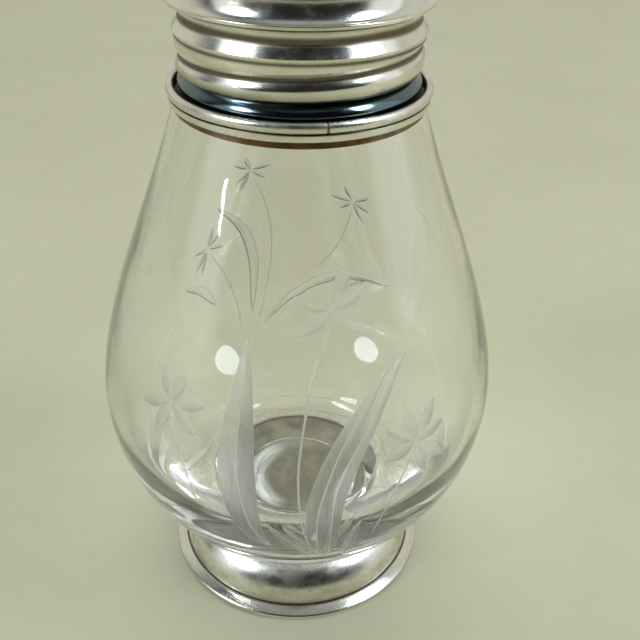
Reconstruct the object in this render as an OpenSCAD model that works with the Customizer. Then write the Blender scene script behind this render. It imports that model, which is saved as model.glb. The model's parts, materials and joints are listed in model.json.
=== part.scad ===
// Sugar caster: a pear-shaped glass body in a domed silver foot, with a silver neck mount and a
// screw-on pierced lid. The origin is the centre of the foot's underside, +Z is the axis. Millimetres.

/* [Foot] */
// Radial width of the dome, from the glass to its foot
dome_w = 7.2; // [4:0.1:12]
// Height of the upright edge that stands on the table
foot_edge_h = 1.2; // [0.8:0.1:3]
// Width of the bevel above that edge, measured inwards
bevel_w = 2.2; // [1:0.1:3]
// Rise of the bevel
bevel_h = 1.0; // [0.4:0.1:2]
// Width of the flat ledge between the bevel and the dome
ledge_w = 0.4; // [0.2:0.1:1]
// How far the rim ring reaches in under the dome, from the dome's outer face
rim_land_w = 1.8; // [1.2:0.1:4]
// Height of the dome above the rim ring
dome_h = 8.8; // [7:0.1:14]
// Thickness of the dome's sheet
foot_sheet = 0.8; // [0.5:0.1:1.2]
// Thickness of the disc that closes the foot
disc_t = 0.6; // [0.4:0.1:0.8]
// Height of that disc above the table
disc_lift = 0.4; // [0.2:0.1:1]

/* [Glass body] */
// Radius of the glass where it leaves the foot
seat_r = 20.8; // [17:0.1:23]
// Radius of the glass at its widest
body_r = 43; // [36:0.5:50]
// Height of the widest point above the foot
body_mid_h = 39; // [32:0.5:48]
// Height of the glass rim above the foot
glass_h = 102.9; // [85:0.5:125]
// Wall thickness of the glass at its rim
neck_wall = 2.0; // [1.5:0.1:3]
// Wall thickness of the glass at its widest
body_wall = 2.8; // [2:0.1:4]
// Thickness of the glass above the foot, at the axis
base_t = 13.2; // [8:0.2:16]
// Radius of the floor inside the glass
floor_r = 20.8; // [16:0.2:24]
// Height of the ring step round that floor
floor_step = 0.9; // [0.4:0.1:1.5]
// Depth of the glass peg that is let into the foot
peg_h = 3.4; // [2:0.1:5]
// How much the peg narrows on each side
peg_taper = 3.3; // [0.5:0.1:5]
// Depth of the ground edge of the hollow under the glass
hollow_bevel = 0.8; // [0.4:0.1:1.2]
// Depth of the shallow dish inside that edge
hollow_h = 0.6; // [0.3:0.1:1]
// Slope of the glass where it leaves the foot, in degrees above level
seat_slope = 31.4; // [25:0.2:40]
// Outward slope of the glass at its rim, radius lost for each unit of height
neck_slope = 0.27; // [0.1:0.01:0.4]

/* [Neck mount] */
// Radius of the sleeve's bore
sleeve_bore_r = 20.2; // [15:0.1:24]
// Wall of the sleeve inside the glass
sleeve_wall = 0.7; // [0.5:0.1:1.2]
// How far the sleeve reaches down into the glass
sleeve_drop = 2; // [1.8:0.1:15]
// Width of the cement ring between the sleeve and the glass
neck_cement_w = 0.9; // [0.6:0.1:1.5]
// Height of that cement ring
neck_cement_h = 1.8; // [1.2:0.1:4]
// How far the collar ring stands out past the glass rim
collar_overhang = 0.9; // [0.5:0.1:2]
// Thickness of the collar ring
collar_t = 1.4; // [1:0.1:2.5]
// Depth of the hollow in the collar's top
gallery_dip = 0.5; // [0.2:0.1:0.8]
// How far the rim wire stands out past the collar ring
wire_overhang = 0.3; // [0.1:0.1:0.8]
// Width of the rim wire across its section
wire_w = 1.6; // [1:0.1:2.2]
// Height of the rim wire
wire_h = 2.0; // [1.2:0.1:3]
// Direction of the joint in the rim wire, counter-clockwise from +X
wire_seam_angle = -79; // [-180:1:180]
// Width of that joint
wire_seam = 0.15; // [0.1:0.05:0.4]
// Gap between the rim wire and the sleeve's shoulder bead
gallery_gap = 0.6; // [0.3:0.1:1]
// How far the shoulder bead stands out past the sleeve's thread
shoulder_proud = 0.85; // [0.4:0.05:1.3]
// Height of the shoulder bead
shoulder_h = 4.1; // [3:0.1:6]

/* [Screw thread] */
// Rise of the thread in one turn
thread_pitch = 4.7; // [3.5:0.1:6]
// Depth of the thread
thread_depth = 0.7; // [0.5:0.05:1]
// Radial running gap between the lid and the sleeve
thread_gap = 0.35; // [0.3:0.05:0.5]
// Height of the threaded part of the sleeve
neck_thread_h = 6.5; // [5:0.1:10]
// Height of the lid's groove above the lid's edge, at the front
groove_front_h = 3.7; // [2.5:0.1:4.5]

/* [Lid] */
// Thickness of the lid's sheet
lid_sheet = 0.6; // [0.4:0.05:0.9]
// How far the sharp ridge stands out past the screw beads
ridge_proud = 0.25; // [0.1:0.05:0.6]
// Depth of the ridge below the lid's inner shelf
ridge_drop = 0.35; // [0.1:0.05:0.8]
// Thickness of the shelf that presses on the seal
shelf_t = 1.7; // [1:0.1:3]
// Width of the shelf's overhang past the sleeve's bore
shelf_overhang = 0.6; // [0.2:0.1:2]
// Depth of the narrow cove above the ridge
cove_depth = 1.3; // [1:0.05:1.8]
// Height of the cove that flares out to the dome
cove_h = 2.8; // [2:0.1:5]
// How far the cove flares out to the dome's lower edge moulding
cove_flare = 2.3; // [1.5:0.1:4]
// Height of that moulding
lip_h = 0.6; // [0.4:0.1:2]
// Height of the hollow above that moulding
waist_h = 3.6; // [2.5:0.1:5]
// How far the dome stands in from that moulding
lip_step = 2.4; // [1.6:0.1:3.2]
// Rise of the dome
dome_rise = 18.5; // [14:0.1:22]
// Thickness of the dome's sheet
dome_sheet = 0.8; // [0.6:0.05:1.2]
// Thickness of the cork seal
seal_t = 1.4; // [0.8:0.1:2.5]
// Width of the cork seal
seal_w = 1.8; // [1.2:0.1:4]
// Gap above and below the seal
seal_gap = 0.1; // [0.05:0.05:0.3]
// Gap between the seal and the lid's thread
seal_play = 0.2; // [0.1:0.05:0.5]
// Gap between the lid's edge and the shoulder bead
lid_gap = 0.5; // [0.3:0.1:1.5]

/* [Piercing] */
// Radius of one sugar hole
hole_r = 0.95; // [0.6:0.05:1.2]
// Rings of holes
hole_rings = 5; // [2:1:5]
// Holes in the ring nearest the finial
first_ring_holes = 8; // [6:1:9]
// Holes gained from one ring to the next
ring_gain = 4; // [2:1:5]
// Angle of the first ring from the axis, seen from the dome's centre
first_ring_angle = 24; // [20:1:28]
// Angle from one ring to the next
ring_step_angle = 12; // [9:1:12]

/* [Finial] */
// Height of the finial above the dome
finial_h = 12; // [8:0.2:20]
// Radius of the finial's ball
finial_ball_r = 4.2; // [3:0.1:4.6]
// Radius of the finial's foot
finial_foot_r = 4.6; // [3.5:0.1:6]
// Radius of the finial's narrow stem
finial_stem_r = 2; // [1.7:0.1:2.6]
// Radius of the peg through the dome
peg_r = 1.5; // [1:0.1:1.6]
// Clearance round the peg
peg_gap = 0.05; // [0.03:0.01:0.1]
// How far the peg shows past its nut
peg_end = 0.8; // [0.2:0.1:2]
// Radius of the nut inside the dome, to its corners
nut_r = 3.1; // [2.6:0.1:4]
// Thickness of the nut
nut_t = 2; // [1.2:0.1:2.2]

/* [Hidden] */
$fn = 96;

// Radius of the hollow under the glass, as a share of the peg's
hollow_share = 0.83;
// Gap of every soldered or cemented joint between two pieces
bed_gap = 0.05;
// Steps along one curve of a turned outline
curve_steps = 14;
// Steps round a threaded ring, and up its thread
thread_cols = 40;
thread_rows = 15;

// Heights, from the table up
rim_top_z = foot_edge_h + bevel_h;
foot_top_z = rim_top_z + dome_h;
floor_z = foot_top_z + base_t;
bottom_z = foot_top_z - peg_h;
body_mid_z = foot_top_z + body_mid_h;
glass_top_z = foot_top_z + glass_h;
collar_z = glass_top_z + bed_gap;
collar_top_z = collar_z + collar_t;
shoulder_z = collar_top_z + bed_gap;
shoulder_top_z = shoulder_z + shoulder_h;
lid_z = shoulder_top_z + lid_gap;
neck_top_z = shoulder_top_z + neck_thread_h;
seal_z = neck_top_z + seal_gap;
shelf_z = seal_z + seal_t + seal_gap;
ridge_z = shelf_z - ridge_drop;
skirt_top_z = shelf_z + shelf_t;
lip_z = skirt_top_z + cove_h;
dome_base_z = lip_z + lip_h + waist_h;
dome_top_z = dome_base_z + dome_rise;

// Radii that follow from a fit
dome_lip_r = seat_r + bed_gap;
peg_low_r = seat_r - peg_taper;
hollow_r = peg_low_r * hollow_share;
dome_r = seat_r + dome_w;
rim_in_r = dome_r - rim_land_w;
foot_r = dome_r + ledge_w + bevel_w;
sleeve_r = sleeve_bore_r + sleeve_wall;
neck_in_r = sleeve_r + neck_cement_w;
neck_r = neck_in_r + neck_wall;
collar_r = neck_r + collar_overhang;
wire_r = collar_r + wire_overhang;
wire_mid_r = wire_r - wire_w / 2;
wire_in_r = wire_r - wire_w;
shoulder_r = wire_in_r - gallery_gap;
neck_crest_r = shoulder_r - shoulder_proud;
lid_in_r = neck_crest_r + thread_gap;
seal_r = lid_in_r - thread_depth - seal_play;
bead_r = lid_in_r + lid_sheet;
ridge_r = bead_r + ridge_proud;
cove_r = ridge_r - cove_depth;
lip_r = cove_r + cove_flare;
dome_base_r = lip_r - lip_step;
shelf_in_r = sleeve_bore_r - shelf_overhang;
cap_r = (dome_base_r * dome_base_r + dome_rise * dome_rise) / (2 * dome_rise);
cap_z = dome_top_z - cap_r;
// The nut's corners stay clear of the dome's inner face
nut_top_z = dome_top_z - dome_sheet - nut_r * nut_r / cap_r;

// Lengths of the glass outline's curve handles, as shares of what they act over, and the slope at its floor
belly_share = 0.41;
shoulder_share = 0.293;
floor_share = 0.42;
reach_share = 0.44;
floor_slope = 20;
belly_handle = body_mid_h * belly_share;
shoulder_handle = (glass_h - body_mid_h) * shoulder_share;
floor_handle = body_mid_h * floor_share;
floor_reach = (body_r - body_wall - floor_r) * reach_share;

function mix(a, b, t) = a + (b - a) * t;
function smooth(t) = let (u = min(max(t, 0), 1)) u * u * (3 - 2 * u);
function bezier(a, b, c, d, n = curve_steps) = [for (i = [0 : n]) let (t = i / n, s = 1 - t)
    s * s * s * a + 3 * s * s * t * b + 3 * s * t * t * c + t * t * t * d];
// A quarter of an ellipse about c, from the side (angle 0) to the top (angle 90)
function quarter(c, w, h, n = curve_steps) = [for (i = [0 : n])
    c + [w * cos(90 * i / n), h * sin(90 * i / n)]];
function reversed(list) = [for (i = [len(list) - 1 : -1 : 0]) list[i]];

// Turns a closed outline of [radius, height] points about the axis
module turned(outline) rotate_extrude() polygon(outline);

// A ring whose outline changes round the axis: section(angle) gives the closed outline at one angle,
// first up the outside, then down the inside, always with the same number of points
module lofted_ring(section, cols = thread_cols) {
    sections = [for (i = [0 : cols - 1]) section(360 * i / cols)];
    rows = len(sections[0]);
    points = [for (i = [0 : cols - 1]) for (p = sections[i])
        [p[0] * cos(360 * i / cols), p[0] * sin(360 * i / cols), p[1]]];
    function at(i, j) = (i % cols) * rows + j % rows;
    faces = [for (i = [0 : cols - 1]) for (j = [0 : rows - 1])
        each [[at(i, j), at(i, j + 1), at(i + 1, j + 1)], [at(i, j), at(i + 1, j + 1), at(i + 1, j)]]];
    polyhedron(points, faces);
}

// Depth of the right-hand thread's groove at an angle and a height, where the front is at -90 degrees
function groove(angle, z) =
    let (turn = (z - lid_z - groove_front_h) / thread_pitch - (angle - 270) / 360)
    thread_depth * pow((1 + cos(360 * turn)) / 2, 2);

// Heights of the thread's rows, from low to high
function rows_between(low, high) = [for (k = [0 : thread_rows]) mix(low, high, k / thread_rows)];

module foot_rim() color("silver") turned([
    [rim_in_r, 0],
    [foot_r, 0],
    [foot_r, foot_edge_h],
    [foot_r - bevel_w, rim_top_z],
    [rim_in_r, rim_top_z]]);

module foot_disc() color("gainsboro") translate([0, 0, disc_lift])
    cylinder(r = rim_in_r - bed_gap, h = disc_t);

module foot_dome() color("silver") turned(concat(
    quarter([dome_lip_r, rim_top_z + bed_gap], dome_r - dome_lip_r, dome_h - bed_gap),
    reversed(quarter([dome_lip_r, rim_top_z + bed_gap],
        dome_r - foot_sheet - dome_lip_r, dome_h - bed_gap - foot_sheet))));

// The hollow ground under the glass, from the axis to its edge, lowered by a gap
function base_hollow(gap) = concat(
    [for (i = [0 : curve_steps]) let (s = i / curve_steps)
        [(hollow_r - hollow_bevel) * s, bottom_z + hollow_bevel + hollow_h * (1 - s * s) - gap]],
    [[hollow_r, bottom_z - gap]]);

// Plaster that fills the foot and beds the glass peg
module foot_cement() color("tan") {
    low = disc_lift + disc_t + bed_gap;
    fill_r = rim_in_r - bed_gap;
    bed_z = foot_top_z - foot_sheet - bed_gap;
    turned(concat(
        [[0, low], [fill_r, low], [fill_r, rim_top_z]],
        [for (p = quarter([dome_lip_r, rim_top_z + bed_gap],
            dome_r - foot_sheet - bed_gap - dome_lip_r, bed_z - rim_top_z - bed_gap))
            if (p[0] < fill_r) p],
        [[mix(seat_r, peg_low_r, foot_sheet / peg_h) + bed_gap, bed_z],
         [peg_low_r + bed_gap, bottom_z - bed_gap]],
        reversed(base_hollow(bed_gap))));
}

// Outside of the glass from the foot to the rim, and its inside from the rim to the floor
function glass_outside() = concat(
    bezier([seat_r, foot_top_z],
        [seat_r + belly_handle * cos(seat_slope), foot_top_z + belly_handle * sin(seat_slope)],
        [body_r, body_mid_z - belly_handle], [body_r, body_mid_z]),
    bezier([body_r, body_mid_z], [body_r, body_mid_z + shoulder_handle],
        [neck_r + neck_slope * shoulder_handle, glass_top_z - shoulder_handle],
        [neck_r, glass_top_z]));
function glass_inside() = concat(
    bezier([neck_in_r, glass_top_z],
        [neck_in_r + neck_slope * shoulder_handle, glass_top_z - shoulder_handle],
        [body_r - body_wall, body_mid_z + shoulder_handle], [body_r - body_wall, body_mid_z]),
    bezier([body_r - body_wall, body_mid_z], [body_r - body_wall, body_mid_z - floor_handle],
        [floor_r + floor_reach * cos(floor_slope), floor_z + floor_step + floor_reach * sin(floor_slope)],
        [floor_r, floor_z + floor_step]),
    [[floor_r - floor_step, floor_z], [0, floor_z]]);

// Drops a point that repeats the one before it, where two curves meet
function without_repeats(list) = [for (i = [0 : len(list) - 1])
    if (i == 0 || norm(list[i] - list[max(i - 1, 0)]) > 0.001) list[i]];

module glass_body() color("lightcyan", 0.5) turned(concat(
    base_hollow(0), [[peg_low_r, bottom_z]],
    without_repeats(glass_outside()),
    without_repeats(glass_inside())));

// Cement between the sleeve and the inside of the glass neck
module neck_cement() color("peru") {
    low = glass_top_z - neck_cement_h;
    turned([
        [sleeve_r + bed_gap, low],
        [neck_in_r - bed_gap + neck_slope * neck_cement_h, low],
        [neck_in_r - bed_gap, glass_top_z],
        [sleeve_r + bed_gap, glass_top_z]]);
}

// Threaded tube that stands in the glass neck, with the shoulder bead that the lid comes down to
module neck_sleeve() color("lightgray") {
    low = glass_top_z - sleeve_drop;
    bead_steps = 6;
    shoulder = function (angle) let (top_r = neck_crest_r - groove(angle, shoulder_top_z))
        [for (i = [0 : bead_steps]) let (t = i / bead_steps, bulge = sin(180 * t))
            [mix(mix(sleeve_r, top_r, t), shoulder_r, bulge), shoulder_z + shoulder_h * t]];
    lofted_ring(function (angle) concat(
        [[sleeve_r, low]],
        shoulder(angle),
        [for (z = rows_between(shoulder_top_z, neck_top_z)) if (z > shoulder_top_z)
            [neck_crest_r - groove(angle, z), z]],
        [[sleeve_bore_r, neck_top_z], [sleeve_bore_r, low]]));
}

// Dished ring that lies on the glass rim and closes it
module collar_ring() color("silver") {
    in_r = sleeve_r + bed_gap;
    dip_share = 0.4;
    turned([
        [in_r, collar_z],
        [collar_r, collar_z],
        [collar_r, collar_top_z],
        [wire_in_r, collar_top_z],
        [mix(wire_in_r, in_r, dip_share), collar_top_z - gallery_dip],
        [in_r, collar_top_z - gallery_dip]]);
}

// Oval wire round the collar's edge, with its butt joint
module rim_wire() color("silver") difference() {
    turned([for (i = [0 : 2 * curve_steps - 1]) let (a = 180 * i / curve_steps)
        [wire_mid_r + wire_w / 2 * cos(a), collar_top_z + bed_gap + wire_h / 2 * (1 + sin(a))]]);
    rotate(wire_seam_angle) translate([wire_mid_r - wire_w, -wire_seam / 2, collar_top_z])
        cube([2 * wire_w, wire_seam, 2 * wire_h]);
}

module lid_seal() color("burlywood") translate([0, 0, seal_z]) difference() {
    cylinder(r = seal_r, h = seal_t);
    translate([0, 0, -seal_t]) cylinder(r = seal_r - seal_w, h = 3 * seal_t);
}

// Threaded band of the lid: rolled screw beads, a sharp ridge, and the shelf over the seal
module lid_skirt() color("silver") {
    blend_h = 1.7;
    edge_h = 0.35;
    edge_in = 0.2;
    cove_turn = [0.45, 0.4];
    outside = function (angle, z)
        mix(bead_r - groove(angle, z), ridge_r, smooth((z - ridge_z + blend_h) / blend_h));
    inside = function (angle, z)
        lid_in_r - groove(angle, z) * (1 - smooth((z - neck_top_z) / (shelf_z - neck_top_z)));
    lofted_ring(function (angle) concat(
        [[outside(angle, lid_z) - edge_in, lid_z]],
        [for (z = rows_between(lid_z + edge_h, ridge_z)) [outside(angle, z), z]],
        [[mix(ridge_r, cove_r, cove_turn[0]), mix(ridge_z, skirt_top_z, cove_turn[1])],
         [cove_r, skirt_top_z]],
        [[shelf_in_r, skirt_top_z], [shelf_in_r, shelf_z]],
        [for (z = reversed(rows_between(lid_z, shelf_z))) [inside(angle, z), z]]));
}

// Domed cover, flared out of the cove, with its rings of sugar holes
module lid_dome() color("silver") difference() {
    // The dome's edge is let a little way into the moulding, which is that much wider inside
    dome_sink = lip_h / 4;
    land_in_r = dome_base_r - 1.25 * dome_sheet;
    lip_round = lip_h / 4;
    waist_r = dome_base_r + dome_sheet / 4;
    union() {
        difference() {
            translate([0, 0, cap_z]) sphere(r = cap_r);
            translate([0, 0, cap_z]) sphere(r = cap_r - dome_sheet);
            translate([0, 0, dome_base_z - dome_sink - 4 * cap_r])
                cylinder(r = 2 * cap_r, h = 4 * cap_r);
        }
        turned(concat(
            [for (i = [0 : curve_steps]) let (t = i / curve_steps)
                [mix(cove_r, lip_r, 1 - cos(90 * t)), mix(skirt_top_z, lip_z, sin(90 * t))]],
            [[lip_r, lip_z + lip_h - lip_round]],
            [for (i = [0 : curve_steps]) let (t = i / curve_steps)
                [mix(lip_r - lip_round, waist_r, sin(90 * t)),
                 mix(dome_base_z, lip_z + lip_h, cos(90 * t))]],
            [[land_in_r, dome_base_z], [land_in_r, lip_z], [cove_r - dome_sheet, skirt_top_z]]));
    }
    for (ring = [0 : hole_rings - 1]) {
        count = first_ring_holes + ring_gain * ring;
        for (i = [0 : count - 1])
            translate([0, 0, cap_z])
                rotate([0, first_ring_angle + ring_step_angle * ring, 360 * (i + ring / 2) / count])
                    translate([0, 0, cap_r - 3 * dome_sheet]) cylinder(r = hole_r, h = 5 * dome_sheet);
    }
    translate([0, 0, dome_top_z - 4 * dome_sheet]) cylinder(r = peg_r + peg_gap, h = 6 * dome_sheet);
}

// Turned knob with the peg that holds it to the dome
module finial() color("silver") {
    ball_z = dome_top_z + finial_h - finial_ball_r;
    foot_h = finial_h / 8;
    difference() {
        union() {
            turned(concat(
                [[0, dome_top_z - dome_sheet / 2], [finial_foot_r, dome_top_z - dome_sheet / 2]],
                [[finial_foot_r, dome_top_z + foot_h / 2]],
                bezier([finial_foot_r - foot_h / 2, dome_top_z + foot_h],
                    [finial_stem_r, dome_top_z + foot_h],
                    [finial_stem_r, ball_z - finial_ball_r],
                    [finial_stem_r, ball_z - finial_ball_r / 2]),
                [[0, ball_z - finial_ball_r / 2]]));
            translate([0, 0, ball_z]) sphere(r = finial_ball_r);
        }
        translate([0, 0, cap_z]) sphere(r = cap_r + bed_gap);
    }
    peg_z = nut_top_z - nut_t - peg_end;
    translate([0, 0, peg_z]) cylinder(r = peg_r, h = dome_top_z + foot_h - peg_z);
}

module finial_nut() color("darkgray") translate([0, 0, nut_top_z - nut_t])
    difference() {
        cylinder(r = nut_r, h = nut_t, $fn = 6);
        translate([0, 0, -nut_t]) cylinder(r = peg_r + peg_gap, h = 3 * nut_t);
    }

foot_rim();
foot_disc();
foot_dome();
foot_cement();
glass_body();
neck_cement();
neck_sleeve();
collar_ring();
rim_wire();
lid_seal();
lid_skirt();
lid_dome();
finial();
finial_nut();
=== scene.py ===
# %% [markdown]
# # A glass sugar caster with silver mounts
# The caster is a pear-shaped cut-glass body that stands in a domed silver foot. A silver collar closes
# the glass rim, and a pierced lid screws down on a short threaded sleeve. Every piece below is built in
# the same frame as the CAD model, so a piece that stands for a CAD node lies where that node lies.

# %% Frame
import json
import math
from functools import partial, partialmethod

import bpy
import numpy as np
from mathutils import Matrix, Quaternion, Vector
from mathutils.geometry import delaunay_2d_cdt

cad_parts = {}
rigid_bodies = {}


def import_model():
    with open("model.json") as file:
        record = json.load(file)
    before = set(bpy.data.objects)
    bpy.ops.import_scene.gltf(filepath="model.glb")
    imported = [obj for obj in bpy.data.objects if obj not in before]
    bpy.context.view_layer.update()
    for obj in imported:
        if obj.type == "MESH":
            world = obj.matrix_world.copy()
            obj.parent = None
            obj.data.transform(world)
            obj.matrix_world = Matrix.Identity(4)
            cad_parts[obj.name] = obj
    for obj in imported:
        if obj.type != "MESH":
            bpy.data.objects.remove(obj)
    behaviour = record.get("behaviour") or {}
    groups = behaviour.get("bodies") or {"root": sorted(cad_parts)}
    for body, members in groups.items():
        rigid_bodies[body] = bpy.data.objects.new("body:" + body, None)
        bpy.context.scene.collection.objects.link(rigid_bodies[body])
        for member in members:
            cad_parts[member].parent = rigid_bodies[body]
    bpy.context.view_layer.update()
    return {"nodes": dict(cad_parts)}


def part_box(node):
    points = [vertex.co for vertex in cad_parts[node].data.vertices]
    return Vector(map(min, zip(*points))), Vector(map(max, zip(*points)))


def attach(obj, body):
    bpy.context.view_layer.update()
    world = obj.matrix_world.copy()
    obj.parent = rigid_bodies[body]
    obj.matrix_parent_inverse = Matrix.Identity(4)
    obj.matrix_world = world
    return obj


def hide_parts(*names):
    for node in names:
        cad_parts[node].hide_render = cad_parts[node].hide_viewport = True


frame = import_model()
scene, MM = bpy.context.scene, 0.001


def node_mm(name):
    """Largest radius, lowest height and highest height of a CAD node, in millimetres."""
    low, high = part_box(name)
    return high.x / MM, low.z / MM, high.z / MM


def new_object(name, data):
    """An object in the scene."""
    made = bpy.data.objects.new(name, data)
    scene.collection.objects.link(made)
    return made


foot_r, _, rim_top_z = node_mm("foot_rim")
dome_r, dome_z, foot_top_z = node_mm("foot_dome")
body_r, peg_z, glass_top_z = node_mm("glass_body")
shoulder_r, sleeve_z, neck_top_z = node_mm("neck_sleeve")
collar_r, collar_z, collar_top_z = node_mm("collar_ring")
wire_r, wire_z, wire_top_z = node_mm("rim_wire")
ridge_r, lid_z, skirt_top_z = node_mm("lid_skirt")
lip_r, _, dome_top_z = node_mm("lid_dome")
seal_r, seal_z, seal_top_z = node_mm("lid_seal")
finial_foot_r, peg_low_z, finial_top_z = node_mm("finial")
print("pieces in the frame:", ", ".join(sorted(frame["nodes"])))

# %% [markdown]
# ## The camera
# The photograph looks down on the caster from close by, a little from the right of its axis. The eye is
# about 16 cm in front of the axis and as high as the finial, and the lens is that of a phone held near.

# %% Camera
EYE = Vector((0.0, -159.43, 167.33)) * MM
PITCH, YAW, ROLL = (math.radians(a) for a in (33.15, 1.72, 1.3))
FOCAL_PIXELS, IMAGE_PIXELS = 860, 640

camera_data = bpy.data.cameras.new("camera")
camera_data.lens = FOCAL_PIXELS / IMAGE_PIXELS * camera_data.sensor_width
camera_data.clip_start, camera_data.clip_end = 0.005, 20
camera = new_object("camera", camera_data)
pose = Matrix.Translation(EYE)
for turn, axis in (-YAW, "Z"), (math.pi / 2 - PITCH, "X"), (ROLL, "Z"):
    pose = pose @ Matrix.Rotation(turn, 4, axis)
camera.matrix_world = pose
scene.camera = camera
print("camera lens", round(camera_data.lens, 1), "mm")

# %% [markdown]
# ## Formulas as nodes
# A finish is a formula: scratches, tarnish and wear are sums of a few noises. The two small classes let
# those sums be written as sums, and add every other node with one call.

# %% Node formulas
class Value:
    """A socket that takes part in sums."""

    def __init__(self, graph, socket):
        self.graph, self.socket = graph, socket

    def math(self, operation, *others):
        made = self.graph.tree.nodes.new("ShaderNodeMath")
        made.operation = operation
        for place, value in zip(made.inputs, (self, *others)):
            self.graph.feed(place, value)
        return Value(self.graph, made.outputs[0])

    __add__ = __radd__ = partialmethod(math, "ADD")
    __mul__ = __rmul__ = partialmethod(math, "MULTIPLY")
    __sub__ = partialmethod(math, "SUBTRACT")
    __truediv__ = partialmethod(math, "DIVIDE")
    __pow__ = partialmethod(math, "POWER")

    def __rsub__(self, other):
        return self * -1.0 + other

    def rise(self, low, high):
        """0 below low, 1 above high, and smooth between."""
        sockets = {"Value": self, "From Min": low, "From Max": high}
        return self.graph.add("ShaderNodeMapRange", sockets, "Result", interpolation_type="SMOOTHSTEP")


class Graph:
    """A node tree that is written as formulas."""

    def __init__(self, tree):
        self.tree = tree

    def feed(self, place, value):
        value = value.socket if isinstance(value, Value) else value
        if isinstance(value, bpy.types.NodeSocket):
            self.tree.links.new(value, place)
        else:
            place.default_value = value

    def add(self, kind, sockets=None, out=0, **settings):
        """One node of any kind, with its input sockets and its settings. Returns the named output."""
        made = self.tree.nodes.new(kind)
        for key, value in settings.items():
            setattr(made, key, value)
        for key, value in (sockets or {}).items():
            self.feed(made.inputs[key], value)
        return Value(self, made.outputs[out]) if out is not None else made

    def split(self, vector):
        """The three parts of a vector."""
        made = self.add("ShaderNodeSeparateXYZ", {"Vector": vector}, None)
        return [Value(self, made.outputs[k]) for k in range(3)]

    def blend(self, factor, first, second):
        """A colour between two others."""
        made = self.add("ShaderNodeMix", out=None, data_type="RGBA")
        self.feed(made.inputs[0], factor)
        for place, colour in ((made.inputs[6], first), (made.inputs[7], second)):
            self.feed(place, colour if isinstance(colour, Value) else (*colour, 1.0))
        return Value(self, made.outputs[2])


class Finish(Graph):
    """A material with one Principled shader."""

    def __init__(self, name):
        self.material = bpy.data.materials.new(name)
        self.material.use_nodes = True
        super().__init__(self.material.node_tree)
        self.shader = self.tree.nodes["Principled BSDF"]
        self.output = self.tree.nodes["Material Output"]
        self.place = self.add("ShaderNodeTexCoord", out="Object")

    def set(self, **sockets):
        for key, value in sockets.items():
            self.feed(self.shader.inputs[key.replace("_", " ")], value)

    def noise(self, scale, detail=3.0, rough=0.55, where=None):
        sockets = {"Vector": where or self.place, "Scale": scale, "Detail": detail, "Roughness": rough}
        return self.add("ShaderNodeTexNoise", sockets, "Fac")

    def stretched(self, x, y, z):
        """Object coordinates stretched by three factors."""
        return self.add("ShaderNodeMapping", {"Vector": self.place, "Scale": (x, y, z)})

    def around(self, along, up):
        """Coordinates on a turned piece: the way round it, its radius and its height, each stretched."""
        x, y, z = self.split(self.place)
        turn = y.math("ARCTAN2", x)
        radius = (x * x + y * y) ** 0.5
        return self.add("ShaderNodeCombineXYZ", {"X": turn * along, "Y": radius * up, "Z": z * up})

    def mask(self, name):
        """A value that the mesh carries at each of its points."""
        return self.add("ShaderNodeAttribute", out="Fac", attribute_name=name)

    def bump(self, height, strength, distance):
        sockets = {"Height": height, "Strength": strength, "Distance": distance}
        return self.add("ShaderNodeBump", sockets, "Normal")


print("node formulas ready")

# %% [markdown]
# ## Silver
# The mounts are old polished silver. Handling has left fine scratches that run mostly round the turned
# bands, and a thin warm tarnish that stays in the hollows where no polishing cloth reaches. A mask on the
# mesh says where the hollows are, and noise breaks its edge. The same mask and the thread's groove also
# carry painted shade: the silver is darkened in gaps, under overhangs and under the lid's edge. The
# sleeve under the lid is never polished and has gone blue-black, and its colour is darkened further as
# painted shade under the lid.

# %% Silver
BRIGHT_SILVER, FOOT_SILVER, DULL_SILVER = (0.80, 0.78, 0.71), (0.77, 0.75, 0.68), (0.60, 0.58, 0.53)
# The sleeve's blue-black silver and hollow colour: unpolished tarnish, darkened further as painted shade
# under the lid
BLACK_SILVER_AND_SHADE, BLACK_TARNISH_AND_SHADE = (0.13, 0.18, 0.20), (0.004, 0.006, 0.007)
# Tarnish and painted shade in a hollow, and what a thin warm film of tarnish leaves of red, green and
# blue
DEEP_TARNISH_AND_SHADE, FILM_TINT = (0.085, 0.062, 0.032), (0.70, 0.63, 0.46)


def silver(name, colour, rough, tarnish_and_shade_colour=DEEP_TARNISH_AND_SHADE, haze=1.0):
    f = Finish(name)
    cloud = f.noise(90, 4)
    rings = f.noise(1.0, 3, 0.6, f.around(14, 5200))
    strokes = f.noise(1.0, 2, 0.5, f.stretched(9000, 700, 2600))
    crossed = f.noise(1.0, 2, 0.5, f.stretched(800, 7000, 2100))
    scratch = (rings.rise(0.60, 0.74) + strokes.rise(0.64, 0.74) + crossed.rise(0.65, 0.75)) * 0.6
    # Darkened where the mask or the thread's groove is deep: tarnish, and painted shade in gaps and under
    # overhangs
    deep = f.mask("tarnish_and_shade").math("MAXIMUM", f.mask("groove") ** 3 * 1.1)
    hollow = (deep + (cloud - 0.5) * 0.35).rise(0.12, 0.85)
    streak = f.noise(1.0, 4, 0.6, f.around(5, 420)).rise(0.42, 0.75)
    film = (f.noise(260, 5).rise(0.45, 0.8) * 0.25 + streak * 0.35) * haze
    tone = f.blend(film, colour, tuple(c * k for c, k in zip(colour, FILM_TINT)))
    f.set(
        Base_Color=f.blend(hollow * 0.9, tone, tarnish_and_shade_colour),
        Metallic=1.0,
        Roughness=rough + film * 0.25 + scratch * 0.14 + hollow * 0.22,
        Normal=f.bump(f.noise(55, 2) * 0.9 + rings * 0.02 + scratch * -0.012, 0.35, 0.0006),
    )
    return f.material


silver_bright = silver("silver_bright", BRIGHT_SILVER, 0.17)
silver_foot = silver("silver_foot", FOOT_SILVER, 0.25, haze=1.5)
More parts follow.
